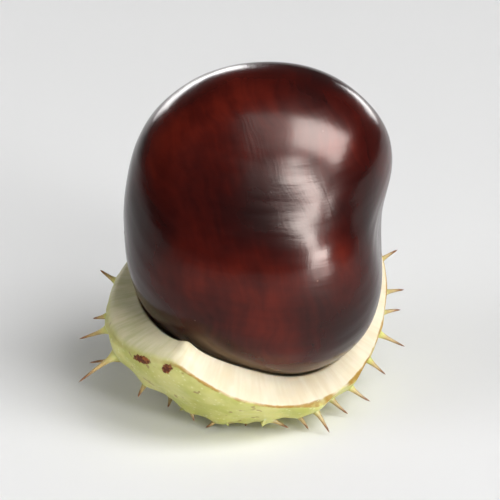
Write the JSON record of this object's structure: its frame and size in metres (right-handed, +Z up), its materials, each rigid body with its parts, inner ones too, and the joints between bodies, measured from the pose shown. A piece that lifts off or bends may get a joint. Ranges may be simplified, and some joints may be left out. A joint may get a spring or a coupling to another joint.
{
  "type": "conker in its husk valve",
  "caption": "Glossy brown conker seated in one opened valve of its spiny green husk, with pale cut flesh round the rim.",
  "frame": {"origin": "middle of the small flat spot under the husk", "axes": "+Z up; the nut's front and the husk's opening face -Y; +X to the right seen from the front"},
  "size_m": [0.0404, 0.0388, 0.0432],
  "materials": {
    "nut": "glossy dark red-brown seed coat",
    "husk": "satin yellow-green skin and spines, matt cream cut flesh"
  },
  "bodies": {
    "root": {"nut": "nut", "husk": "husk"}
  },
  "joints": []
}
